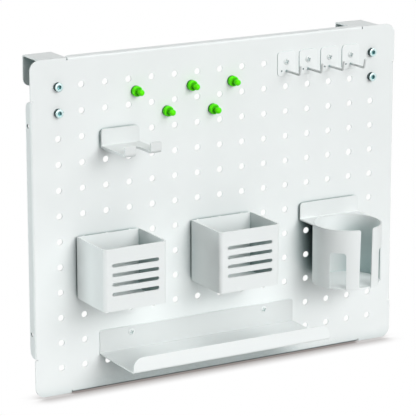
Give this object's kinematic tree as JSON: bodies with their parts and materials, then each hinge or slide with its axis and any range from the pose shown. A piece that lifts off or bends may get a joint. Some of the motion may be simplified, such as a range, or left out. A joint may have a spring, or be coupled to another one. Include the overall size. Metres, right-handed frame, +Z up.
{
  "type": "pegboard tool wall",
  "caption": "White perforated steel panel that hooks over a desk screen, with slotted bins, a cup holder, a pronged tool holder, a shelf, key hooks and green magnets.",
  "frame": {"origin": "middle of the top edge of the screen that the two hangers hook over, midway between the hangers", "axes": "+X to the right along the panel, +Y from the panel into the screen, +Z up"},
  "size_m": [0.487, 0.1384, 0.394],
  "materials": {
    "white_coat": "satin white powder coat",
    "zinc_plate": "bright zinc plate",
    "green_plastic": "glossy moulded plastic",
    "bumper_rubber": "matte",
    "magnet_nickel": "nickel plate"
  },
  "bodies": {
    "panel": {"panel": "white_coat", "hanger_left": "white_coat", "hanger_right": "white_coat", "hanger_screws": "zinc_plate", "hanger_washers": "zinc_plate", "hanger_nuts": "zinc_plate", "shelf": "white_coat", "key_plate_1": "white_coat", "key_plate_2": "white_coat", "key_plate_3": "white_coat", "key_plate_4": "white_coat", "key_wire_1": "white_coat", "key_wire_2": "white_coat", "key_wire_3": "white_coat", "key_wire_4": "white_coat", "pan_screws": "white_coat", "pan_washers": "zinc_plate", "pan_nuts": "zinc_plate"},
    "bin_left": {"bin_left_wrap": "white_coat", "bin_left_back": "white_coat", "bin_left_floor": "white_coat", "bin_left_hooks": "zinc_plate", "bin_left_bumpers": "bumper_rubber"},
    "bin_right": {"bin_right_wrap": "white_coat", "bin_right_back": "white_coat", "bin_right_floor": "white_coat", "bin_right_hooks": "zinc_plate", "bin_right_bumpers": "bumper_rubber"},
    "cup_holder": {"cup_bracket": "white_coat", "cup_shell": "white_coat", "cup_base": "white_coat", "cup_hooks": "zinc_plate", "cup_bumper": "bumper_rubber"},
    "tool_holder": {"tool_holder": "white_coat", "tool_holder_hooks": "zinc_plate", "tool_holder_bumper": "bumper_rubber"},
    "magnet_1": {"magnet_cap_1": "green_plastic", "magnet_disc_1": "magnet_nickel"},
    "magnet_2": {"magnet_cap_2": "green_plastic", "magnet_disc_2": "magnet_nickel"},
    "magnet_3": {"magnet_cap_3": "green_plastic", "magnet_disc_3": "magnet_nickel"},
    "magnet_4": {"magnet_cap_4": "green_plastic", "magnet_disc_4": "magnet_nickel"},
    "magnet_5": {"magnet_cap_5": "green_plastic", "magnet_disc_5": "magnet_nickel"}
  },
  "joints": [
    {"name": "bin_left_lift", "type": "slide", "parent": "panel", "child": "bin_left", "axis": [0, 0, 1], "range_m": [0, 0.0033]},
    {"name": "bin_right_lift", "type": "slide", "parent": "panel", "child": "bin_right", "axis": [0, 0, 1], "range_m": [0, 0.0033]},
    {"name": "cup_holder_lift", "type": "slide", "parent": "panel", "child": "cup_holder", "axis": [0, 0, 1], "range_m": [0, 0.0033]},
    {"name": "tool_holder_lift", "type": "slide", "parent": "panel", "child": "tool_holder", "axis": [0, 0, 1], "range_m": [0, 0.0033]},
    {"name": "magnet_1_pull", "type": "slide", "parent": "panel", "child": "magnet_1", "axis": [0, -1, 0], "range_m": [0, 0.03]},
    {"name": "magnet_2_pull", "type": "slide", "parent": "panel", "child": "magnet_2", "axis": [0, -1, 0], "range_m": [0, 0.03]},
    {"name": "magnet_3_pull", "type": "slide", "parent": "panel", "child": "magnet_3", "axis": [0, -1, 0], "range_m": [0, 0.03]},
    {"name": "magnet_4_pull", "type": "slide", "parent": "panel", "child": "magnet_4", "axis": [0, -1, 0], "range_m": [0, 0.03]},
    {"name": "magnet_5_pull", "type": "slide", "parent": "panel", "child": "magnet_5", "axis": [0, -1, 0], "range_m": [0, 0.03]}
  ]
}
